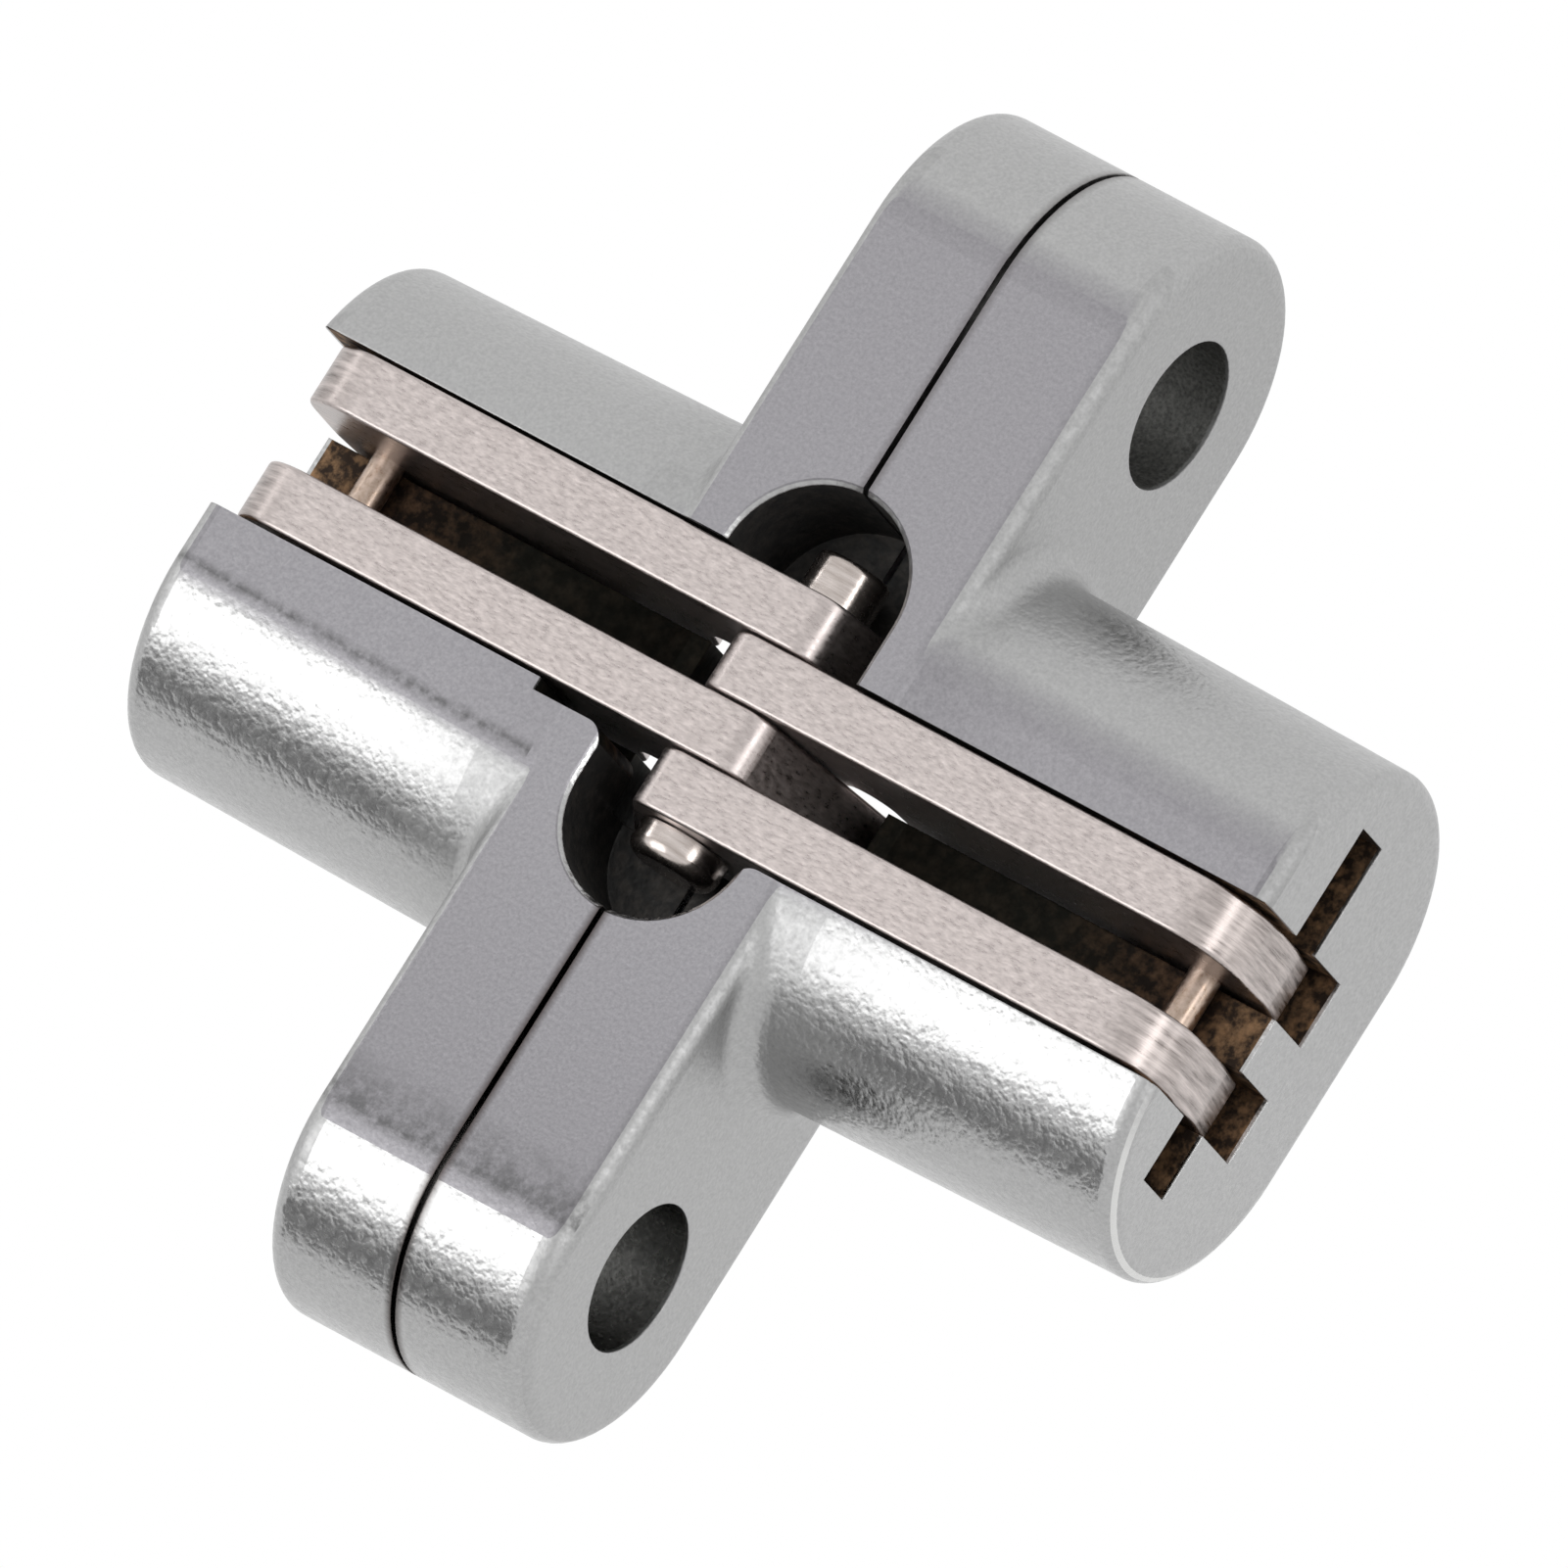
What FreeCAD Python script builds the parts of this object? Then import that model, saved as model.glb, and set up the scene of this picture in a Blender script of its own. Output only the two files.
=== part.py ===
# Small concealed leaf hinge, closed pose, millimetres.
# X runs across the two leaves (parting plane at x = 0, frame leaf on -X, door leaf on +X).
# Z runs along the leaves and all the pins.  -Y is the open, slotted side, +Y the side the leaves fold to.
import FreeCAD, Part
import math
import os

# leaf plate
LEAF_WIDTH = 10.0
LEAF_LENGTH = 39.25
LEAF_THICKNESS = 4.55
PARTING_GAP = 0.18
FOLD_EDGE_RADIUS = 0.8
PLATE_EDGE_RADIUS = 0.6

# screw holes, countersunk from the parting face
SCREW_HOLE_PITCH = 28.6
SCREW_HOLE_RADIUS = 2.3
SCREW_HEAD_RADIUS = 4.1
SCREW_HEAD_ANGLE = 90.0
SCREW_HEAD_LAND = 0.3

# body behind the plate
BODY_DEPTH = 17.3
BODY_WIDTH = 9.94
BODY_HEIGHT_FRONT = 16.8
BODY_HEIGHT_BACK = 16.2
BODY_EDGE_RADIUS = 0.5
BODY_ROOT_RADIUS = 0.9
FRAME_BODY_OFFSET = -0.07
DOOR_BODY_OFFSET = 0.3

# link stack
STACK_OFFSET = 0.55
LINK_THICKNESS = 1.86
LINK_GAP = 0.06
LINK_RECESS = 0.05
SIDE_CLEARANCE = 0.12
LINK_EDGE_RADIUS = 0.12

# link profile: insets run from the end of the body, the other places from the centre
LINK_EYE_RADIUS = 1.55
LINK_NOSE_RADIUS = 0.95
LINK_NOSE_X = 0.45
LINK_FRONT_INSET = 0.4
LINK_FRONT_RADIUS = 1.9
LINK_END_INSET = 0.3
LINK_END_Y = -1.0
LINK_END_RADIUS = 4.0
LINK_BACK_INSET = 0.75
LINK_BACK_Y = 1.5
LINK_BACK_RADIUS = 1.0
LINK_ARM_X = 4.1
LINK_ARM_Y = 1.0
LINK_ARM_RADIUS = 1.0
LINK_THROAT_X = 3.5
LINK_THROAT_Y = -1.9
LINK_THROAT_RADIUS = 0.8

# pin axes, the slide pins measured from the end of the body
PIVOT_X = 2.0
PIVOT_Y = 1.75
CENTER_Y = -2.8
SLIDE_INSET = 2.3
SLIDE_Y = -1.1

# pins
PIVOT_PIN_RADIUS = 0.75
PIVOT_PIN_SEAT = 3.2
SLIDE_PIN_RADIUS = 0.5
SLIDE_PIN_CHAMFER = 0.12
RIVET_RADIUS = 0.85
RIVET_HEAD_RADIUS = 1.4
RIVET_HEAD_HEIGHT = 1.0
RIVET_HEAD_EDGE = 0.45
RIVET_TAIL_LENGTH = 1.35
RIVET_TAIL_RADIUS = 1.15
RIVET_TAIL_EDGE = 0.2
RUNNING_CLEARANCE = 0.05

# openings in the leaves
POCKET_RADIUS = 2.9
POCKET_FLOOR_Y = -0.9
POCKET_BEVEL = 0.15
POCKET_CORNER_RADIUS = 0.6
GROOVE_OFFSET = 0.3
GROOVE_HALF_LENGTH = 5.8
GROOVE_END_CLEARANCE = 0.15
GROOVE_TRAVEL = 0.647
GROOVE_CLEARANCE = 0.036
GROOVE_INNER_INSET = 6.3
SLOT_TAIL_Y = 1.75
SLOT_SLOPE_INSET = 4.1
SLOT_SLOPE_Y = 2.05
SLOT_MOUTH_X = 9.2
WINDOW_X = 3.75
RELIEF_X = 5.5
RELIEF_WIDTH = 0.4

HALF_WIDTH = LEAF_WIDTH / 2
PITCH = LINK_THICKNESS + LINK_GAP
STACK_HALF = 1.5 * PITCH + LINK_THICKNESS / 2
LAYER_A1 = STACK_OFFSET + 1.5 * PITCH
LAYER_B1 = STACK_OFFSET + 0.5 * PITCH
LAYER_A2 = STACK_OFFSET - 0.5 * PITCH
LAYER_B2 = STACK_OFFSET - 1.5 * PITCH
EDGE_Y = -HALF_WIDTH + LINK_RECESS
SLIDE_X = BODY_DEPTH - SLIDE_INSET
GROOVE_ROOF_Y = SLIDE_Y + SLIDE_PIN_RADIUS + GROOVE_CLEARANCE
GROOVE_FLOOR_Y = SLIDE_Y - GROOVE_TRAVEL - SLIDE_PIN_RADIUS - GROOVE_CLEARANCE
OVERCUT = 1.0
SAME_PLACE = 0.01


def vec(x, y, z=0.0):
    return FreeCAD.Vector(x, y, z)


def box(x0, x1, y0, y1, z0, z1):
    return Part.makeBox(x1 - x0, y1 - y0, z1 - z0, vec(x0, y0, z0))


def rod(radius, x, y, z0, z1):
    return Part.makeCylinder(radius, z1 - z0, vec(x, y, z0), vec(0, 0, 1))


def plate(edges, z0, z1):
    face = Part.Face(Part.Wire(edges))
    face.translate(vec(0, 0, z0))
    return face.extrude(vec(0, 0, z1 - z0))


def polygon(points, z0, z1):
    corners = [vec(x, y) for x, y in points]
    face = Part.Face(Part.makePolygon(corners + corners[:1]))
    face.translate(vec(0, 0, z0))
    return face.extrude(vec(0, 0, z1 - z0))


def arc(center, radius, start, middle, end):
    points = []
    for angle in (start, middle, end):
        turn = math.radians(angle)
        points.append(center + vec(radius * math.cos(turn), radius * math.sin(turn)))
    return Part.Arc(points[0], points[1], points[2]).toShape()


def on_circle(center, radius, angle):
    turn = math.radians(angle)
    return center + vec(radius * math.cos(turn), radius * math.sin(turn))


def stadium(x, width, height, offset):
    # closed outline in the YZ plane, full-round top and bottom
    side = width / 2
    straight = height / 2 - side
    right_low = vec(x, side, offset - straight)
    right_high = vec(x, side, offset + straight)
    left_high = vec(x, -side, offset + straight)
    left_low = vec(x, -side, offset - straight)
    return Part.Wire([
        Part.makeLine(right_low, right_high),
        Part.Arc(right_high, vec(x, 0, offset + height / 2), left_high).toShape(),
        Part.makeLine(left_high, left_low),
        Part.Arc(left_low, vec(x, 0, offset - height / 2), right_low).toShape(),
    ])


def tangent_angle(point, center, radius, side):
    # direction from the circle centre to the touching point of a line through the point
    reach = point - center
    base = math.degrees(math.atan2(reach.y, reach.x))
    return base + side * math.degrees(math.acos(radius / reach.Length))


def common_tangent_angle(center_1, radius_1, center_2, radius_2, side):
    # direction of the normal shared by both circles along their outer tangent
    reach = center_2 - center_1
    base = math.degrees(math.atan2(reach.y, reach.x))
    return base + side * math.degrees(math.acos((radius_1 - radius_2) / reach.Length))


def link_corners():
    # corners of the sliding end, the arm and the throat, each with its rounding
    return [
        (BODY_DEPTH - LINK_FRONT_INSET, EDGE_Y, LINK_FRONT_RADIUS),
        (BODY_DEPTH - LINK_END_INSET, LINK_END_Y, LINK_END_RADIUS),
        (BODY_DEPTH - LINK_BACK_INSET, LINK_BACK_Y, LINK_BACK_RADIUS),
        (LINK_ARM_X, LINK_ARM_Y, LINK_ARM_RADIUS),
        (LINK_THROAT_X, LINK_THROAT_Y, LINK_THROAT_RADIUS),
    ]


def link_outline():
    # link of the A pair: slides in the frame leaf, turns on the door leaf
    corners = [vec(-x, y) for x, y, radius in link_corners()]
    nose = vec(LINK_NOSE_X, EDGE_Y + LINK_NOSE_RADIUS)
    eye = vec(PIVOT_X, PIVOT_Y)
    eye_in = tangent_angle(corners[-1], eye, LINK_EYE_RADIUS, -1) % 360
    side = common_tangent_angle(eye, LINK_EYE_RADIUS, nose, LINK_NOSE_RADIUS, 1)
    side = (side + 180) % 360 - 180
    eye_start = on_circle(eye, LINK_EYE_RADIUS, eye_in)
    eye_end = on_circle(eye, LINK_EYE_RADIUS, side)
    nose_start = on_circle(nose, LINK_NOSE_RADIUS, side)
    nose_end = on_circle(nose, LINK_NOSE_RADIUS, -90)
    edges = [Part.makeLine(a, b) for a, b in zip(corners[:-1], corners[1:])]
    edges.append(Part.makeLine(corners[-1], eye_start))
    edges.append(arc(eye, LINK_EYE_RADIUS, eye_in, (eye_in + side) / 2, side))
    edges.append(Part.makeLine(eye_end, nose_start))
    edges.append(arc(nose, LINK_NOSE_RADIUS, side, (side - 90) / 2, -90))
    edges.append(Part.makeLine(nose_end, corners[0]))
    return edges


def link(layer, center_fit, slide_fit, pivot_hole):
    bottom = layer - LINK_THICKNESS / 2
    top = layer + LINK_THICKNESS / 2
    body = plate(link_outline(), bottom, top)
    for x, y, radius in link_corners():
        corner = [e for e in body.Edges if is_upright_at(e, -x, y)]
        body = body.makeFillet(radius, corner)
    rim = [e for e in body.Edges if e.BoundBox.ZLength < SAME_PLACE]
    body = body.makeFillet(LINK_EDGE_RADIUS, rim)
    body = body.cut(rod(RIVET_RADIUS + center_fit, 0, CENTER_Y, bottom - OVERCUT, top + OVERCUT))
    body = body.cut(rod(SLIDE_PIN_RADIUS + slide_fit, -SLIDE_X, SLIDE_Y, bottom - OVERCUT, top + OVERCUT))
    if pivot_hole:
        hole_radius = PIVOT_PIN_RADIUS + RUNNING_CLEARANCE
        body = body.cut(rod(hole_radius, PIVOT_X, PIVOT_Y, bottom - OVERCUT, top + OVERCUT))
    return body


def is_upright_at(edge, x, y):
    ends = edge.Vertexes
    if len(ends) != 2:
        return False
    if edge.BoundBox.ZLength < LINK_THICKNESS / 2:
        return False
    return all(math.hypot(end.X - x, end.Y - y) < SAME_PLACE for end in ends)


def mirrored(shape):
    return shape.mirror(vec(0, 0, 0), vec(1, 0, 0))


def leaf_blank(body_offset):
    # plate and drafted body of the frame leaf before any opening is cut
    face_x = -PARTING_GAP / 2
    outline = Part.Face(stadium(face_x, LEAF_WIDTH, LEAF_LENGTH, 0))
    flange = outline.extrude(vec(-LEAF_THICKNESS - face_x, 0, 0))
    core_x = face_x - LEAF_THICKNESS / 2
    front = stadium(core_x, BODY_WIDTH, BODY_HEIGHT_FRONT, body_offset)
    back = stadium(-BODY_DEPTH, BODY_WIDTH, BODY_HEIGHT_BACK, body_offset)
    body = Part.makeLoft([front, back], True, True)
    rim = [e for e in body.Edges if e.BoundBox.XMax < -BODY_DEPTH + SAME_PLACE]
    body = body.makeFillet(BODY_EDGE_RADIUS, rim)
    flange = flange.makeFillet(PLATE_EDGE_RADIUS, back_face_edges(flange, LEAF_LENGTH))
    blank = flange.fuse(body).removeSplitter()
    return blank.makeFillet(BODY_ROOT_RADIUS, back_face_edges(blank, BODY_HEIGHT_FRONT))


def back_face_edges(shape, height):
    # edges in the plane of the plate's back face, as far up and down as the given height reaches
    found = []
    for edge in shape.Edges:
        bounds = edge.BoundBox
        in_plane = abs(bounds.XMax + LEAF_THICKNESS) < SAME_PLACE and bounds.XLength < SAME_PLACE
        if in_plane and max(-bounds.ZMin, bounds.ZMax) < height / 2 + PLATE_EDGE_RADIUS:
            found.append(edge)
    return found


def screw_holes():
    cuts = []
    slope = math.tan(math.radians(SCREW_HEAD_ANGLE / 2))
    cone_depth = (SCREW_HEAD_RADIUS - SCREW_HOLE_RADIUS) / slope
    for side in (-1, 1):
        z = side * SCREW_HOLE_PITCH / 2
        axis = vec(-1, 0, 0)
        length = LEAF_THICKNESS + OVERCUT
        cuts.append(Part.makeCylinder(SCREW_HOLE_RADIUS, length, vec(OVERCUT / 2, 0, z), axis))
        land = PARTING_GAP / 2 + SCREW_HEAD_LAND
        cuts.append(Part.makeCylinder(SCREW_HEAD_RADIUS, land + OVERCUT, vec(OVERCUT, 0, z), axis))
        cuts.append(Part.makeCone(SCREW_HEAD_RADIUS, SCREW_HOLE_RADIUS, cone_depth, vec(-land, 0, z), axis))
    return cuts


def fold_edge_cut():
    # rounds the parting-face edge on the side the leaves fold to
    center_x = -PARTING_GAP / 2 - FOLD_EDGE_RADIUS
    center_y = HALF_WIDTH - FOLD_EDGE_RADIUS
    reach = LEAF_LENGTH / 2 + OVERCUT
    corner = box(center_x, OVERCUT, center_y, HALF_WIDTH + OVERCUT, -reach, reach)
    return corner.cut(rod(FOLD_EDGE_RADIUS, center_x, center_y, -reach, reach))


def obround(radius, y):
    # closed outline in the XZ plane around the ends of the link stack
    reach = STACK_HALF + SIDE_CLEARANCE
    low = STACK_OFFSET - reach
    high = STACK_OFFSET + reach
    return Part.Wire([
        Part.makeLine(vec(-radius, y, low), vec(-radius, y, high)),
        Part.Arc(vec(-radius, y, high), vec(0, y, high + radius), vec(radius, y, high)).toShape(),
        Part.makeLine(vec(radius, y, high), vec(radius, y, low)),
        Part.Arc(vec(radius, y, low), vec(0, y, low - radius), vec(-radius, y, low)).toShape(),
    ])


def pocket_cut():
    # recess for the rivet ends, open to the slotted side with a small bevel round its rim
    depth = HALF_WIDTH + POCKET_FLOOR_Y
    recess = Part.Face(obround(POCKET_RADIUS, POCKET_FLOOR_Y)).extrude(vec(0, -depth - OVERCUT, 0))
    bevel_start = obround(POCKET_RADIUS, -HALF_WIDTH + POCKET_BEVEL)
    bevel_end = obround(POCKET_RADIUS + POCKET_BEVEL + OVERCUT, -HALF_WIDTH - OVERCUT)
    return [recess, Part.makeLoft([bevel_start, bevel_end], True, True)]


def slot_profile():
    # swept room of a sliding link below the open channel
    out_x = -BODY_DEPTH - OVERCUT
    out_y = HALF_WIDTH + OVERCUT
    slope_x = -BODY_DEPTH + SLOT_SLOPE_INSET
    return [
        (out_x, GROOVE_ROOF_Y - OVERCUT),
        (OVERCUT, GROOVE_ROOF_Y - OVERCUT),
        (OVERCUT, out_y),
        (-SLOT_MOUTH_X, out_y),
        (-SLOT_MOUTH_X, HALF_WIDTH),
        (slope_x, SLOT_SLOPE_Y),
        (slope_x, SLOT_TAIL_Y),
        (out_x, SLOT_TAIL_Y),
    ]


def pocket_corner(shape, z):
    # edge where the lower side of the channel runs into the pocket wall
    found = []
    for edge in shape.Edges:
        bounds = edge.BoundBox
        on_wall = max(abs(bounds.XMin + POCKET_RADIUS), abs(bounds.XMax + POCKET_RADIUS)) < SAME_PLACE
        on_side = max(abs(bounds.ZMin - z), abs(bounds.ZMax - z)) < SAME_PLACE
        if on_wall and on_side:
            found.append(edge)
    return found


def leaf(slide_layers, body_offset, relief_width):
    # frame leaf shape for the layers of the links that slide in it
    half_layer = LINK_THICKNESS / 2 + SIDE_CLEARANCE
    low = min(slide_layers) - half_layer
    high = max(slide_layers) + half_layer
    top = -HALF_WIDTH - OVERCUT
    out_x = -BODY_DEPTH - OVERCUT
    cuts = screw_holes() + pocket_cut()
    cuts.append(fold_edge_cut())
    cuts.append(box(out_x, OVERCUT, top, GROOVE_ROOF_Y, low, high))
    for layer in slide_layers:
        cuts.append(polygon(slot_profile(), layer - half_layer, layer + half_layer))
    reach = STACK_HALF + SIDE_CLEARANCE
    window_low = STACK_OFFSET - reach
    window_high = STACK_OFFSET + reach
    window_top = POCKET_FLOOR_Y - OVERCUT
    cuts.append(box(-WINDOW_X, OVERCUT, window_top, HALF_WIDTH + OVERCUT, window_low, window_high))
    groove_low = GROOVE_OFFSET - GROOVE_HALF_LENGTH
    groove_high = GROOVE_OFFSET + GROOVE_HALF_LENGTH
    inner_x = -BODY_DEPTH + GROOVE_INNER_INSET
    cuts.append(box(out_x, inner_x, GROOVE_FLOOR_Y, GROOVE_ROOF_Y, groove_low, groove_high))
    if relief_width > 0:
        cuts.append(box(-RELIEF_X, 0, top, POCKET_FLOOR_Y, low - relief_width, low))
    shape = leaf_blank(body_offset)
    for cutter in cuts:
        shape = shape.cut(cutter)
    shape = shape.removeSplitter()
    return shape.makeFillet(POCKET_CORNER_RADIUS, pocket_corner(shape, low - relief_width))


def center_rivet():
    # flat round head below the stack, thick riveted end above it
    bottom = STACK_OFFSET - STACK_HALF - RUNNING_CLEARANCE
    top = STACK_OFFSET + STACK_HALF + RUNNING_CLEARANCE
    shank = rod(RIVET_RADIUS, 0, CENTER_Y, bottom, top)
    head = rod(RIVET_HEAD_RADIUS, 0, CENTER_Y, bottom - RIVET_HEAD_HEIGHT, bottom)
    outer = [e for e in head.Edges if e.BoundBox.ZMax < bottom - RIVET_HEAD_HEIGHT + SAME_PLACE]
    head = head.makeFillet(RIVET_HEAD_EDGE, outer)
    tail = rod(RIVET_TAIL_RADIUS, 0, CENTER_Y, top, top + RIVET_TAIL_LENGTH)
    outer = [e for e in tail.Edges if e.BoundBox.ZMin > top + RIVET_TAIL_LENGTH - SAME_PLACE]
    tail = tail.makeFillet(RIVET_TAIL_EDGE, outer)
    return shank.fuse([head, tail]).removeSplitter()


def slide_pin():
    low = GROOVE_OFFSET - GROOVE_HALF_LENGTH + GROOVE_END_CLEARANCE
    high = GROOVE_OFFSET + GROOVE_HALF_LENGTH - GROOVE_END_CLEARANCE
    pin = rod(SLIDE_PIN_RADIUS, -SLIDE_X, SLIDE_Y, low, high)
    ends = [e for e in pin.Edges if len(e.Vertexes) == 1]
    return pin.makeChamfer(SLIDE_PIN_CHAMFER, ends)


def save(shape, node):
    shape.exportStep("parts/" + node + ".step")


os.makedirs("parts", exist_ok=True)

stack_low = STACK_OFFSET - STACK_HALF
stack_high = STACK_OFFSET + STACK_HALF

# stub pins: one pressed into the lower wall of the frame leaf, one into the upper wall of the door leaf
frame_pin_low = stack_low - SIDE_CLEARANCE - PIVOT_PIN_SEAT
frame_pivot_pin = rod(PIVOT_PIN_RADIUS, -PIVOT_X, PIVOT_Y, frame_pin_low, LAYER_B2 + LINK_THICKNESS / 2)
door_pin_high = stack_high + SIDE_CLEARANCE + PIVOT_PIN_SEAT
door_pivot_pin = rod(PIVOT_PIN_RADIUS, PIVOT_X, PIVOT_Y, LAYER_A1 - LINK_THICKNESS / 2, door_pin_high)

frame_leaf = leaf([LAYER_A1, LAYER_A2], FRAME_BODY_OFFSET, RELIEF_WIDTH).cut(frame_pivot_pin)
door_leaf = mirrored(leaf([LAYER_B1, LAYER_B2], DOOR_BODY_OFFSET, 0)).cut(door_pivot_pin)

# the rivet and the slide pins are tight in the pair they travel with and run free in the other parts
link_a1 = link(LAYER_A1, RUNNING_CLEARANCE, 0, True)
link_a2 = link(LAYER_A2, RUNNING_CLEARANCE, 0, False)
link_b1 = mirrored(link(LAYER_B1, 0, 0, False))
link_b2 = mirrored(link(LAYER_B2, 0, 0, True))

save(frame_leaf, "frame_leaf")
save(door_leaf, "door_leaf")
save(link_a1, "link_a1")
save(link_a2, "link_a2")
save(link_b1, "link_b1")
save(link_b2, "link_b2")
save(center_rivet(), "center_rivet")
save(frame_pivot_pin, "frame_pivot_pin")
save(door_pivot_pin, "door_pivot_pin")
save(slide_pin(), "frame_slide_pin")
save(mirrored(slide_pin()), "door_slide_pin")
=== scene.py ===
# Looks of the small concealed hinge: camera, studio, finishes and the fine wear of its metal, with
# painted shade, painted light, a painted dark reflection and a painted highlight on its surfaces.
# Metres, in the frame of the imported part: X across the leaves, Z along them, slotted side to -Y.
import math

import bpy
from mathutils import Matrix, Vector


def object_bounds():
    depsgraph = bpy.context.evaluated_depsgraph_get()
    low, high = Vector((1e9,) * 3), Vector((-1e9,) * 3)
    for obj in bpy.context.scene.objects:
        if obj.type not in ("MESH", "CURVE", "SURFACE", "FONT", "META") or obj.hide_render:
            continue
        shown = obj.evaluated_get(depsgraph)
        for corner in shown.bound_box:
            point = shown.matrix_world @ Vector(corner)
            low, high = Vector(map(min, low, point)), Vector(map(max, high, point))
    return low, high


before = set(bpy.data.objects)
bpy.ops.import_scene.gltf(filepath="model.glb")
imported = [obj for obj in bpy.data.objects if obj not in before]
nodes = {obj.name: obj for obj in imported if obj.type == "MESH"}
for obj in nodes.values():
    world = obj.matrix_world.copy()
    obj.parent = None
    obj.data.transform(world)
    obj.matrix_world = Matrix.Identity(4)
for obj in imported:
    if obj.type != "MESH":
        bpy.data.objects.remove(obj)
cad_low, cad_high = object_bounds()

# camera: direction towards it and the turn of the picture, as the photograph shows the part
VIEW_AZIMUTH = 26.5
VIEW_ELEVATION = -8.0
PICTURE_TURN = 32.1
CAMERA_DISTANCE = 1.8
PICTURE_WIDTH = 0.04368
AIM_RIGHT = 0.00012
AIM_DOWN = 0.00018
SENSOR_WIDTH = 36.0
NEAR_CLIP = 0.1
FAR_CLIP = 10.0

# studio
WHITE = (1.0, 1.0, 1.0, 1.0)
ROOM_STRENGTH = 0.75
FLOOR_DROP = 0.80
FLOOR_SIZE = 6.0
FLOOR_COLOR = (0.9, 0.9, 0.9, 1.0)
FLOOR_ROUGHNESS = 0.8
STAND_OFF = 0.45
# name, direction as (right, up, towards the camera), size, strength
SOFTBOXES = (
    ("left_softbox", (-0.79, 0.165, 0.59), 0.30, 0.52),
    ("side_softbox", (0.84, -0.29, 0.46), 0.08, 0.05),
    ("end_softbox", (-0.77, 0.64, -0.07), 0.06, 0.04),
    ("front_softbox", (0.55, -0.04, 0.835), 0.10, 0.18),
)
CARD_DIRECTION = (-0.885, -0.45, 0.155)
CARD_SIZE = 0.19
CARD_COLOR = (0.30, 0.30, 0.30, 1.0)
CARD_ROUGHNESS = 0.9

# the outline of the leaves; depth is the distance from the parting plane
PLATE_DEPTH = 0.00455
PLATE_STRAIGHT = 0.01463
BODY_STRAIGHT = 0.0033
FOLD_STRAIGHT = 0.0031
BODY_RADIUS = 0.00497
BODY_TAPER = 0.02
FRAME_BODY_OFFSET = -0.00007
DOOR_BODY_OFFSET = 0.0003
SCREW_HOLE_Z = 0.0143
SCREW_WALL_RADIUS = 0.00236

# where the leaves are open, for the painted shade inside
CHANNEL_SKIN = 0.00012
STACK_Z = (-0.00339, 0.00449)
FRAME_CHANNEL_LOW_Z = -0.00147
DOOR_CHANNEL_HIGH_Z = 0.00257
RELIEF_DEPTH = 0.00553
RELIEF_WIDTH = 0.0004
WINDOW_DEPTH = 0.00377
CORNER_DEPTH = 0.01675
SLOT_TAIL_Y = 0.0018
GROOVE_Z = (-0.0055, 0.0061)
GROOVE_Y = (-0.0023, -0.00055)
POCKET_SKIN = 0.00017
POCKET_RADIUS = 0.00292
POCKET_FLOOR_Y = -0.00085
POCKET_LOW_Z = -0.0019
POCKET_HIGH_Z = 0.0030

# where the ground flats of the slotted side end, by height and by the turn of the surface
FLAT_SKIN_Y = -0.0045
FLAT_TOP_Y = -0.004955
FLAT_NORMAL = 0.9995
HARD_FLAT_END = 0.992
SOFT_FLAT_END = 0.955

# noises as (scale, detail, roughness), and how far each is stretched along the axes
GRAIN_NOISE = (9000.0, 1.5, 0.6)
MOTTLE_NOISE = (4200.0, 1.0, 0.5)
PATCH_NOISE = (3500.0, 3.0, 0.6)
STAIN_NOISE = (2600.0, 4.0, 0.6)
FINE_NOISE = (5000.0, 3.0, 0.6)
STREAK_NOISE = (1.0, 4.0, 0.65)
RING_NOISE = (1.0, 3.0, 0.6)
EDGE_SPECKLE = (3000.0, 3000.0, 9000.0)
TAIL_BRUSHING = (500.0, 500.0, 7000.0)
SIDE_BRUSHING = (1500.0, 7000.0, 7000.0)
RIVET_RINGS = (900.0, 900.0, 9000.0)

# the part of each noise that is spread over its colours
NOISE_RANGE = (0.3, 0.7)
PATCH_RANGE = (0.35, 0.62)
STAIN_RANGE = (0.42, 0.66)
PIN_RANGE = (0.35, 0.65)

# colours of the leaves, from the dark to the light end of the noise
CAST = ((0.395, 0.395, 0.395, 1.0), (0.465, 0.465, 0.463, 1.0))
GROUND = ((0.275, 0.268, 0.284, 1.0), (0.33, 0.322, 0.338, 1.0))
# painted shade: the ground flats of the lower arm, darker towards its end
LOWER_GROUND_SHADED = ((0.235, 0.229, 0.243, 1.0), (0.285, 0.278, 0.292, 1.0))
BORED = ((0.27, 0.27, 0.26, 1.0), (0.55, 0.55, 0.53, 1.0))
# painted shade inside the leaves, near black; the brown and tan are painted light towards the open
# ends, with a brown tint; the pocket colour is a lighter painted shade
SHADED_INSIDE = ((0.018, 0.018, 0.015, 1.0), (0.036, 0.031, 0.024, 1.0))
BROWN_LIT_INSIDE = ((0.026, 0.02, 0.017, 1.0), (0.13, 0.08, 0.05, 1.0))
TAN_LIT_INSIDE = ((0.05, 0.036, 0.028, 1.0), (0.33, 0.205, 0.115, 1.0))
POCKET_PAINTED_SHADE = ((0.075, 0.075, 0.074, 1.0), (0.12, 0.112, 0.104, 1.0))
# painted dark reflection on the edge of the lower flats
DARK_BAND_COLOR = (0.085, 0.085, 0.085, 1.0)
# painted shade in the parting seam
SEAM_SHADE_COLOR = (0.05, 0.036, 0.032, 1.0)
# painted highlight on the door leaf's end rim
RIM_HIGHLIGHT_COLOR = (0.68, 0.68, 0.67, 1.0)

# colours and roughness of the steel
LINK_STEEL = ((0.39, 0.348, 0.336, 1.0), (0.61, 0.548, 0.528, 1.0))
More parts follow.
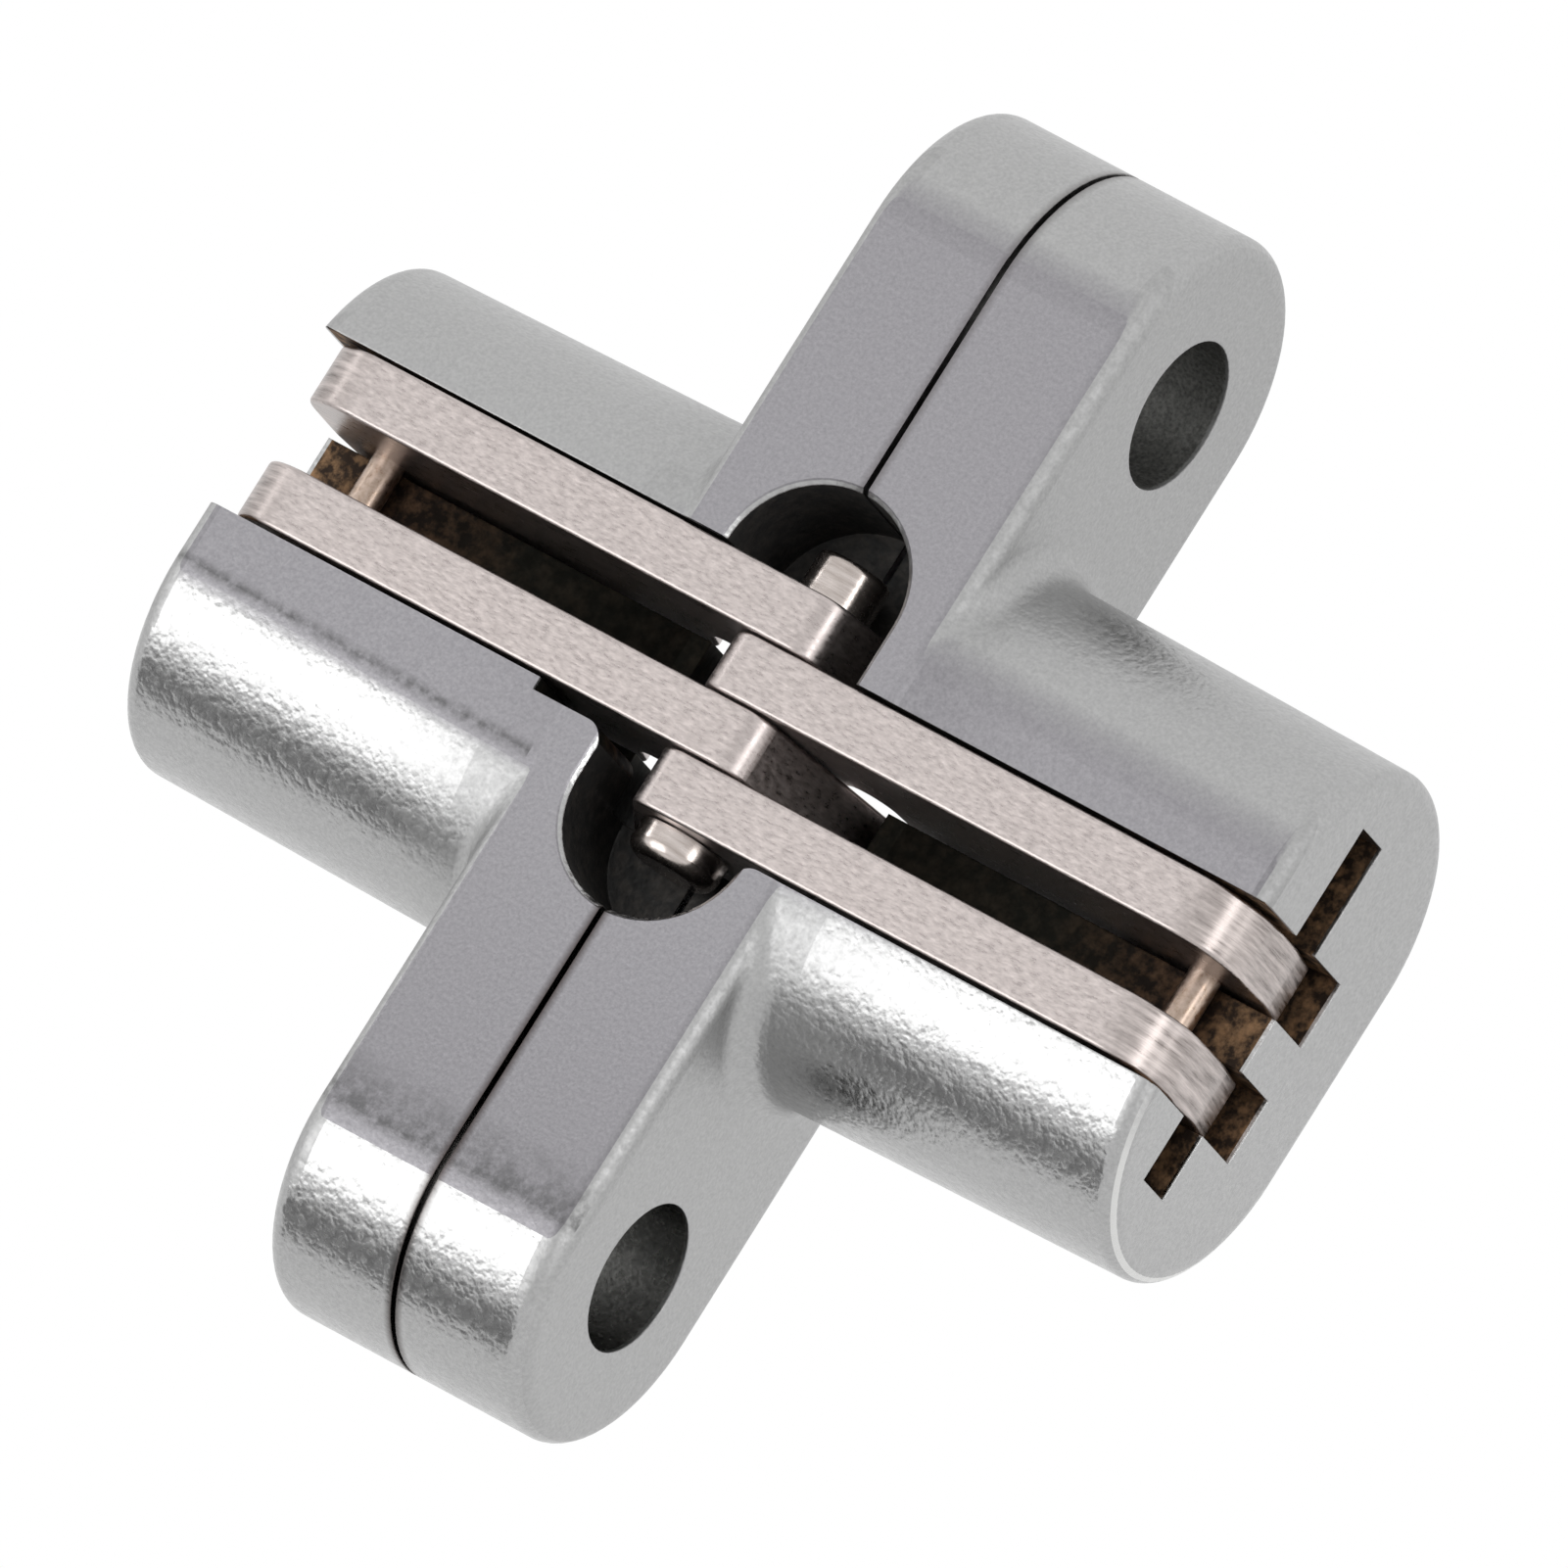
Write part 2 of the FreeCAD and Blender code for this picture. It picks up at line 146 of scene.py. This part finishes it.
# painted shade: the link tails past the bend are darker
SHADED_LINK_TAIL_STEEL = ((0.2, 0.175, 0.165, 1.0), (0.68, 0.61, 0.585, 1.0))
RIVET_STEEL = ((0.42, 0.37, 0.34, 1.0), (0.62, 0.56, 0.53, 1.0))
PIN_STEEL = ((0.36, 0.27, 0.21, 1.0), (0.55, 0.44, 0.37, 1.0))
LINK_ROUGHNESS = (0.24, 0.42)
RIVET_ROUGHNESS = (0.16, 0.3)
PIN_ROUGHNESS = (0.25, 0.42)

# painted shade, painted light, a painted dark reflection and a painted highlight on the leaves;
# each pair is where it starts and where it is full
LOWER_ARM_Z = (-0.004, -0.014)
DARK_BAND_SHIFT = 0.00017
DARK_BAND_FADE = 0.0003
DARK_BAND_PLATE_FADE = 0.0018
DARK_BAND_FRONT_Y = -0.0047
DARK_BAND_LEAST = 0.15
DARK_BAND_AMOUNT = 0.75
SEAM_RIM = (0.0044, 0.0048)
SEAM_DEPTH = (0.00034, 0.00009)
SEAM_LOWER_AMOUNT = 0.85
SEAM_UPPER_AMOUNT = 0.45
RIM_HIGHLIGHT_X = (0.01717, 0.01727)
RIM_HIGHLIGHT_Z = (-0.0033, -0.0055)
BROWN_DEPTH = (0.0100, 0.0140)
TAN_DEPTH = (0.0152, 0.0162)
# a spot inside that gets the brown painted light
SPOT = (-0.0032, -0.003, -0.0024)
SPOT_RADIUS = 0.0016
SPOT_CORE = 0.6

# roughness of the leaves, and what each duller place adds to it
CASTING_ROUGHNESS = (0.20, 0.29)
UPPER_Z = (-0.0028, 0.0022)
UPPER_DULLING = 0.11
FLAT_DULLING = 0.12
INSIDE_DULLING = 0.35
ZONE_DULLING = 0.22
RIM_DEPTH = (0.0038, 0.0060)
RIM_Y = -0.0043
ROOT_START = 0.0044
ROOT_FADE = (0.0052, 0.0088)
ROOT_SHARE = 0.6

# bumps as (strength, height), calmer on flats, hole walls and faces turned along X
EDGE_SOFTNESS = 0.00008
LUMP_STRENGTH = 0.42
CALM_STRENGTH = 0.08
LUMP_HEIGHT = 0.00006
FACING_RANGE = (0.8, 0.98)
FACING_SHARE = 0.7
GRAIN_BUMP = (0.25, 0.00002)
LINK_BUMP = (0.35, 0.00002)
RIVET_BUMP = (0.2, 0.00001)
PIN_BUMP = (0.25, 0.00001)

# where a link's edge bends down to its tail, and how far a face is turned to count as its side
LINK_BEND_DEPTH = (0.0148, 0.0162)
LINK_SIDE_TURN = 0.7


def direction(azimuth, elevation):
    a = math.radians(azimuth)
    e = math.radians(elevation)
    return Vector((math.sin(a) * math.cos(e), -math.cos(a) * math.cos(e), math.sin(e)))


def add_object(name, data):
    obj = bpy.data.objects.new(name, data)
    bpy.context.scene.collection.objects.link(obj)
    return obj


def make_camera():
    # returns the picture's right, its up and the direction towards the camera
    data = bpy.data.cameras.new("camera")
    camera = add_object("camera", data)
    back = direction(VIEW_AZIMUTH, VIEW_ELEVATION)
    level_right = Vector((0, 0, 1)).cross(back).normalized()
    level_up = back.cross(level_right)
    turn = math.radians(PICTURE_TURN)
    right = level_right * math.cos(turn) + level_up * math.sin(turn)
    up = back.cross(right)
    camera.rotation_mode = "QUATERNION"
    camera.rotation_quaternion = Matrix((right, up, back)).transposed().to_quaternion()
    camera.location = back * CAMERA_DISTANCE + right * AIM_RIGHT - up * AIM_DOWN
    data.sensor_width = SENSOR_WIDTH
    data.lens = SENSOR_WIDTH * CAMERA_DISTANCE / PICTURE_WIDTH
    data.clip_start = NEAR_CLIP
    data.clip_end = FAR_CLIP
    bpy.context.scene.camera = camera
    return right, up, back


def in_picture(axes, towards):
    right, up, back = axes
    return right * towards[0] + up * towards[1] + back * towards[2]


def face_part(obj, towards):
    # stands a lamp or a card off the part, square to it
    obj.location = towards.normalized() * STAND_OFF
    obj.rotation_mode = "QUATERNION"
    obj.rotation_quaternion = towards.to_track_quat("Z", "Y")


def softbox(name, towards, size, strength):
    data = bpy.data.lights.new(name, "AREA")
    data.shape = "SQUARE"
    data.size = size
    data.energy = strength
    data.color = WHITE[:3]
    face_part(add_object(name, data), towards)


def plain_material(name, color, roughness):
    mat = bpy.data.materials.new(name)
    mat.use_nodes = True
    shader = mat.node_tree.nodes["Principled BSDF"]
    shader.inputs["Base Color"].default_value = color
    shader.inputs["Roughness"].default_value = roughness
    return mat


def square_sheet(name, size, material):
    half = size / 2
    corners = [(-half, -half, 0), (half, -half, 0), (half, half, 0), (-half, half, 0)]
    mesh = bpy.data.meshes.new(name)
    mesh.from_pydata(corners, [], [(0, 1, 2, 3)])
    mesh.materials.append(material)
    return add_object(name, mesh)


def show_white(tree, shader, output, kinds):
    # rays of the given kinds see a plain white sheet instead of the shader
    is_world = output.type == "OUTPUT_WORLD"
    sheet = tree.nodes.new("ShaderNodeBackground" if is_world else "ShaderNodeEmission")
    sheet.inputs["Color"].default_value = WHITE
    sheet.inputs["Strength"].default_value = 1.0
    path = tree.nodes.new("ShaderNodeLightPath")
    shown = path.outputs[kinds[0]]
    for kind in kinds[1:]:
        either = tree.nodes.new("ShaderNodeMath")
        either.operation = "MAXIMUM"
        tree.links.new(shown, either.inputs[0])
        tree.links.new(path.outputs[kind], either.inputs[1])
        shown = either.outputs[0]
    mix = tree.nodes.new("ShaderNodeMixShader")
    tree.links.new(shown, mix.inputs[0])
    tree.links.new(shader, mix.inputs[1])
    tree.links.new(sheet.outputs[0], mix.inputs[2])
    tree.links.new(mix.outputs[0], output.inputs["Surface"])


def make_world():
    world = bpy.data.worlds.new("room")
    bpy.context.scene.world = world
    world.use_nodes = True
    tree = world.node_tree
    tree.nodes.clear()
    output = tree.nodes.new("ShaderNodeOutputWorld")
    room = tree.nodes.new("ShaderNodeBackground")
    room.inputs["Color"].default_value = WHITE
    room.inputs["Strength"].default_value = ROOM_STRENGTH
    kinds = ["Is Camera Ray", "Is Glossy Ray", "Is Transmission Ray"]
    show_white(tree, room.outputs[0], output, kinds)


def make_floor():
    # far below the part, because the camera looks up at it from a little below
    paper = plain_material("floor_paper", FLOOR_COLOR, FLOOR_ROUGHNESS)
    tree = paper.node_tree
    shader = tree.nodes["Principled BSDF"].outputs[0]
    output = tree.nodes["Material Output"]
    show_white(tree, shader, output, ["Is Glossy Ray", "Is Transmission Ray"])
    floor = square_sheet("floor", FLOOR_SIZE, paper)
    floor.location = (0, 0, -FLOOR_DROP)


def make_card(towards):
    # a plain studio card that only shows in reflections, as the dark band on the lower rounds
    paint = plain_material("lower_flag_paint", CARD_COLOR, CARD_ROUGHNESS)
    obj = square_sheet("lower_flag", CARD_SIZE, paint)
    face_part(obj, towards)
    obj.visible_camera = False


class Graph:
    # adds nodes to one metal's material; a value is a number, a colour or another node's socket
    def __init__(self, name):
        self.mat = bpy.data.materials.new(name)
        self.mat.use_nodes = True
        self.nodes = self.mat.node_tree.nodes
        self.links = self.mat.node_tree.links
        coord = self.add("ShaderNodeTexCoord")
        self.place = coord.outputs["Object"]
        self.x, self.y, self.z = self.axes(self.place)
        self.facing_x, self.facing_y, self.facing_z = self.axes(coord.outputs["Normal"])
        self.depth = self.math("ABSOLUTE", self.x)

    def add(self, kind, **values):
        node = self.nodes.new(kind)
        for key, value in values.items():
            setattr(node, key, value)
        return node

    def feed(self, value, socket):
        if isinstance(value, bpy.types.NodeSocket):
            self.links.new(value, socket)
        else:
            socket.default_value = value

    def axes(self, vector):
        split = self.add("ShaderNodeSeparateXYZ")
        self.feed(vector, split.inputs[0])
        return split.outputs

    def math(self, operation, a, b=0.0, clamp=False):
        node = self.add("ShaderNodeMath", operation=operation, use_clamp=clamp)
        self.feed(a, node.inputs[0])
        self.feed(b, node.inputs[1])
        return node.outputs[0]

    def chain(self, operation, values):
        result = values[0]
        for value in values[1:]:
            result = self.math(operation, result, value)
        return result

    def total(self, *values):
        return self.chain("ADD", values)

    def product(self, *values):
        return self.chain("MULTIPLY", values)

    def largest(self, *values):
        return self.chain("MAXIMUM", values)

    def minus(self, a, b):
        return self.math("SUBTRACT", a, b)

    def above(self, value, limit):
        return self.math("GREATER_THAN", value, limit)

    def below(self, value, limit):
        return self.math("LESS_THAN", value, limit)

    def between(self, value, low, high):
        return self.product(self.above(value, low), self.below(value, high))

    def square_sum(self, a, b):
        return self.total(self.product(a, a), self.product(b, b))

    def spread(self, value, span, new_span):
        # carries one span over to another, and holds at its ends
        node = self.add("ShaderNodeMapRange")
        self.feed(value, node.inputs["Value"])
        node.inputs["From Min"].default_value = span[0]
        node.inputs["From Max"].default_value = span[1]
        node.inputs["To Min"].default_value = new_span[0]
        node.inputs["To Max"].default_value = new_span[1]
        return node.outputs["Result"]

    def fade_in(self, value, span):
        return self.spread(value, span, (0.0, 1.0))

    def mix(self, data_type, inputs, output, values):
        # each data type has sockets of its own on the mix node, so they go by number
        node = self.add("ShaderNodeMix", data_type=data_type)
        for value, index in zip(values, inputs):
            self.feed(value, node.inputs[index])
        return node.outputs[output]

    def pick(self, factor, a, b):
        return self.mix("FLOAT", (0, 2, 3), 0, (factor, a, b))

    def turn(self, factor, a, b):
        return self.mix("VECTOR", (0, 4, 5), 1, (factor, a, b))

    def blend(self, factor, a, b):
        return self.mix("RGBA", (0, 6, 7), 2, (factor, a, b))

    def noise(self, settings, stretch=None):
        vector = self.place
        if stretch is not None:
            scaled = self.add("ShaderNodeVectorMath", operation="MULTIPLY")
            self.feed(vector, scaled.inputs[0])
            self.feed(stretch, scaled.inputs[1])
            vector = scaled.outputs[0]
        node = self.add("ShaderNodeTexNoise")
        self.feed(vector, node.inputs["Vector"])
        for name, value in zip(("Scale", "Detail", "Roughness"), settings):
            node.inputs[name].default_value = value
        return node.outputs["Fac"]

    def near_point(self, point, radius, core):
        node = self.add("ShaderNodeVectorMath", operation="DISTANCE")
        self.feed(self.place, node.inputs[0])
        self.feed(point, node.inputs[1])
        return self.fade_in(node.outputs["Value"], (radius, radius * core))

    def soft_edges(self, radius):
        node = self.add("ShaderNodeBevel", samples=6)
        node.inputs["Radius"].default_value = radius
        return node.outputs["Normal"]

    def bump(self, height, strength, distance, normal=None):
        node = self.add("ShaderNodeBump")
        self.feed(height, node.inputs["Height"])
        self.feed(strength, node.inputs["Strength"])
        node.inputs["Distance"].default_value = distance
        if normal is not None:
            self.feed(normal, node.inputs["Normal"])
        return node.outputs["Normal"]

    def as_metal(self, color, roughness, normal):
        shader = self.nodes["Principled BSDF"]
        shader.inputs["Metallic"].default_value = 1.0
        self.feed(color, shader.inputs["Base Color"])
        self.feed(roughness, shader.inputs["Roughness"])
        self.feed(normal, shader.inputs["Normal"])
        return self.mat


def skin_height(graph, straight):
    # how far the body's skin lies from its middle, which is round beyond the straight part
    past = graph.largest(graph.minus(graph.math("ABSOLUTE", graph.z), straight), 0.0)
    rest = graph.minus(BODY_RADIUS ** 2, graph.product(past, past))
    return graph.math("SQRT", graph.largest(rest, 0.0))


def channel_mask(graph):
    # 1 within the link channels, which are one layer apart in the two leaves
    on_door = graph.above(graph.x, 0.0)
    in_window = graph.below(graph.depth, WINDOW_DEPTH)
    relief = graph.product(graph.below(graph.depth, RELIEF_DEPTH), RELIEF_WIDTH)
    low = graph.pick(on_door, graph.minus(FRAME_CHANNEL_LOW_Z, relief), STACK_Z[0])
    low = graph.pick(in_window, low, STACK_Z[0])
    high = graph.pick(on_door, STACK_Z[1], DOOR_CHANNEL_HIGH_Z)
    high = graph.pick(in_window, high, STACK_Z[1])
    behind_skin = graph.total(graph.y, skin_height(graph, BODY_STRAIGHT))
    return graph.product(graph.between(graph.z, low, high), graph.above(behind_skin, CHANNEL_SKIN))


def groove_mask(graph):
    # 1 within the grooves that the slide pins run in
    across = graph.between(graph.z, *GROOVE_Z)
    along = graph.between(graph.y, *GROOVE_Y)
    return graph.product(across, along, graph.above(graph.depth, PLATE_DEPTH))


def pocket_mask(graph):
    # 1 within the two round pockets at the rivet's ends
    below_rim = graph.above(graph.y, cad_low.y + POCKET_SKIN)
    above_floor = graph.below(graph.y, POCKET_FLOOR_Y)
    rounds = []
    for center in STACK_Z:
        reach = graph.square_sum(graph.x, graph.minus(graph.z, center))
        rounds.append(graph.below(reach, POCKET_RADIUS ** 2))
    return graph.product(graph.largest(*rounds), below_rim, above_floor)


def inside_mask(graph):
    # 1 on the walls inside the leaves, which get painted shade, 0 on the outside
    near_end = graph.above(graph.depth, CORNER_DEPTH)
    fold_skin = graph.minus(skin_height(graph, FOLD_STRAIGHT), CHANNEL_SKIN)
    off_fold = graph.below(graph.y, graph.pick(near_end, fold_skin, SLOT_TAIL_Y))
    off_end = graph.below(graph.depth, cad_high.x - CHANNEL_SKIN)
    cuts = graph.largest(channel_mask(graph), groove_mask(graph))
    return graph.largest(graph.product(cuts, off_end, off_fold), pocket_mask(graph))


def flat_mask(graph):
    # 1 on the ground flats of the slotted side, fading where they run out into the rounds
    hard = graph.fade_in(graph.facing_y, (-HARD_FLAT_END, -FLAT_NORMAL))
    soft = graph.fade_in(graph.facing_y, (-SOFT_FLAT_END, -FLAT_NORMAL))
    turned = graph.pick(graph.above(graph.z, 0.0), hard, soft)
    at_skin = graph.product(turned, graph.below(graph.y, FLAT_SKIN_Y))
    return graph.largest(at_skin, graph.below(graph.y, FLAT_TOP_Y))


def screw_wall(graph):
    # 1 on the bored walls of the two screw holes
    off = graph.minus(graph.math("ABSOLUTE", graph.z), SCREW_HOLE_Z)
    in_bore = graph.below(graph.square_sum(graph.y, off), SCREW_WALL_RADIUS ** 2)
    return graph.product(graph.below(graph.depth, PLATE_DEPTH - CHANNEL_SKIN), in_bore)


def dark_reflection_band(graph):
    # painted dark reflection: a mottled dark band where the ground flats run out into the lower
    # rounds
    on_plate = graph.below(graph.depth, PLATE_DEPTH)
    half = graph.minus(BODY_STRAIGHT + DARK_BAND_SHIFT, graph.product(graph.depth, BODY_TAPER))
    middle = graph.pick(graph.above(graph.x, 0.0), FRAME_BODY_OFFSET, DOOR_BODY_OFFSET)
    edge = graph.pick(on_plate, graph.minus(middle, half), -PLATE_STRAIGHT)
    off = graph.minus(graph.z, edge)
    fade = graph.pick(on_plate, DARK_BAND_FADE, DARK_BAND_PLATE_FADE)
    above = graph.math("SUBTRACT", 1.0, graph.math("DIVIDE", off, fade), clamp=True)
    below = graph.math("ADD", 1.0, graph.math("DIVIDE", off, DARK_BAND_FADE), clamp=True)
    patches = graph.spread(graph.noise(PATCH_NOISE), PATCH_RANGE, (DARK_BAND_LEAST, 1.0))
    return graph.product(above, below, patches, graph.below(graph.y, DARK_BAND_FRONT_Y), DARK_BAND_AMOUNT)


def seam_shade(graph):
    # painted shade along the outer seam of the parting plane, darker on the lower arm
    past = graph.largest(graph.minus(graph.math("ABSOLUTE", graph.z), PLATE_STRAIGHT), 0.0)
    outer = graph.fade_in(graph.math("SQRT", graph.square_sum(graph.y, past)), SEAM_RIM)
    amount = graph.pick(graph.above(graph.z, 0.0), SEAM_LOWER_AMOUNT, SEAM_UPPER_AMOUNT)
    return graph.product(graph.fade_in(graph.depth, SEAM_DEPTH), amount, outer)


def rim_highlight(graph):
    # painted highlight: a thin bright line round the lower half of the door leaf's end
    line = graph.between(graph.x, *RIM_HIGHLIGHT_X)
    return graph.product(line, graph.fade_in(graph.z, RIM_HIGHLIGHT_Z))


def outside_color(graph, grain, flat, wall):
    speck = graph.fade_in(grain, NOISE_RANGE)
    # painted shade: the ground flats darken towards the end of the lower arm
    lower_arm = graph.fade_in(graph.z, LOWER_ARM_Z)
    shaded_lower_ground = graph.blend(speck, *LOWER_GROUND_SHADED)
    ground = graph.blend(lower_arm, graph.blend(speck, *GROUND), shaded_lower_ground)
    color = graph.blend(flat, graph.blend(speck, *CAST), ground)
    color = graph.blend(dark_reflection_band(graph), color, DARK_BAND_COLOR)
    color = graph.blend(wall, color, graph.blend(speck, *BORED))
    color = graph.blend(seam_shade(graph), color, SEAM_SHADE_COLOR)
    return graph.blend(rim_highlight(graph), color, RIM_HIGHLIGHT_COLOR)


def inside_color(graph):
    # painted shade inside: near black in the middle, lighter brown and tan towards the open ends
    # and round one spot as painted light with a brown tint, and a less dark painted shade in the
    # pockets
    stain = graph.fade_in(graph.noise(STAIN_NOISE), STAIN_RANGE)
    far = graph.fade_in(graph.depth, BROWN_DEPTH)
    far = graph.largest(far, graph.near_point(SPOT, SPOT_RADIUS, SPOT_CORE))
    color = graph.blend(far, graph.blend(stain, *SHADED_INSIDE), graph.blend(stain, *BROWN_LIT_INSIDE))
    tan = graph.blend(stain, *TAN_LIT_INSIDE)
    color = graph.blend(graph.fade_in(graph.depth, TAN_DEPTH), color, tan)
    under_links = graph.below(graph.z, POCKET_LOW_Z)
    over_links = graph.above(graph.z, POCKET_HIGH_Z)
    near_rivet = graph.below(graph.depth, POCKET_RADIUS)
    in_pocket = graph.product(graph.largest(under_links, over_links), near_rivet)
    return graph.blend(in_pocket, color, graph.blend(stain, *POCKET_PAINTED_SHADE))


def casting_roughness(graph, mottle, flat, inside):
    at_end = graph.product(
        graph.above(graph.depth, CORNER_DEPTH),
        graph.below(graph.y, FLAT_SKIN_Y),
    )
    at_rim = graph.product(
        graph.between(graph.depth, *RIM_DEPTH),
        graph.below(graph.y, RIM_Y),
        graph.minus(1.0, flat),
    )
    at_root = graph.product(
        graph.spread(graph.depth, ROOT_FADE, (ROOT_SHARE, 0.0)),
        graph.above(graph.depth, ROOT_START),
    )
    return graph.total(
        graph.spread(mottle, NOISE_RANGE, CASTING_ROUGHNESS),
        graph.spread(graph.z, UPPER_Z, (0.0, UPPER_DULLING)),
        graph.product(flat, FLAT_DULLING),
        graph.product(inside, INSIDE_DULLING),
        graph.product(graph.largest(at_end, at_rim, at_root), ZONE_DULLING),
    )


def casting_normal(graph, grain, mottle, flat, wall):
    face_normal = graph.add("ShaderNodeNewGeometry").outputs["Normal"]
    edges = graph.turn(flat, graph.soft_edges(EDGE_SOFTNESS), face_normal)
    turned = graph.math("ABSOLUTE", graph.facing_x)
    calm = graph.largest(flat, wall, graph.spread(turned, FACING_RANGE, (0.0, FACING_SHARE)))
    strength = graph.pick(calm, LUMP_STRENGTH, CALM_STRENGTH)
    lumpy = graph.bump(mottle, strength, LUMP_HEIGHT, edges)
    return graph.bump(grain, *GRAIN_BUMP, lumpy)


def casting_material():
    graph = Graph("leaf_casting")
    grain = graph.noise(GRAIN_NOISE)
    mottle = graph.noise(MOTTLE_NOISE)
    inside = inside_mask(graph)
    flat = flat_mask(graph)
    wall = screw_wall(graph)
    outside_look = outside_color(graph, grain, flat, wall)
    return graph.as_metal(
        graph.blend(inside, outside_look, inside_color(graph)),
        casting_roughness(graph, mottle, flat, inside),
        casting_normal(graph, grain, mottle, flat, wall),
    )


def link_material():
    # speckled edges that are brushed past the bend and painted darker there as shade on the tail's
    # turn into the slot, and brushed sides
    graph = Graph("link_steel")
    past_bend = graph.fade_in(graph.depth, LINK_BEND_DEPTH)
    speckle = graph.noise(STREAK_NOISE, EDGE_SPECKLE)
    edge = graph.pick(past_bend, speckle, graph.noise(STREAK_NOISE, TAIL_BRUSHING))
    on_side = graph.above(graph.math("ABSOLUTE", graph.facing_z), LINK_SIDE_TURN)
    streak = graph.pick(on_side, edge, graph.noise(STREAK_NOISE, SIDE_BRUSHING))
    tone = graph.fade_in(streak, NOISE_RANGE)
    tail = graph.blend(tone, *SHADED_LINK_TAIL_STEEL)
    return graph.as_metal(
        graph.blend(past_bend, graph.blend(tone, *LINK_STEEL), tail),
        graph.spread(streak, NOISE_RANGE, LINK_ROUGHNESS),
        graph.bump(streak, *LINK_BUMP),
    )


def rivet_material():
    graph = Graph("rivet_steel")
    fine = graph.noise(FINE_NOISE)
    rings = graph.fade_in(graph.noise(RING_NOISE, RIVET_RINGS), NOISE_RANGE)
    return graph.as_metal(
        graph.blend(rings, *RIVET_STEEL),
        graph.spread(fine, NOISE_RANGE, RIVET_ROUGHNESS),
        graph.bump(fine, *RIVET_BUMP),
    )


def pin_material():
    graph = Graph("pin_steel")
    fine = graph.noise(FINE_NOISE)
    return graph.as_metal(
        graph.blend(graph.fade_in(fine, PIN_RANGE), *PIN_STEEL),
        graph.spread(fine, NOISE_RANGE, PIN_ROUGHNESS),
        graph.bump(fine, *PIN_BUMP),
    )


def dress(names, material):
    for name in names:
        slots = nodes[name].material_slots
        if not slots:
            nodes[name].data.materials.append(material)
        for slot in slots:
            slot.material = material


picture_axes = make_camera()
make_world()
make_floor()
for name, towards, size, strength in SOFTBOXES:
    softbox(name, in_picture(picture_axes, towards), size, strength)
make_card(in_picture(picture_axes, CARD_DIRECTION))

dress(["frame_leaf", "door_leaf"], casting_material())
dress(["link_a1", "link_a2", "link_b1", "link_b2"], link_material())
dress(["center_rivet"], rivet_material())
dress(["frame_pivot_pin", "door_pivot_pin", "frame_slide_pin", "door_slide_pin"], pin_material())

bpy.context.scene.view_settings.view_transform = "Standard"
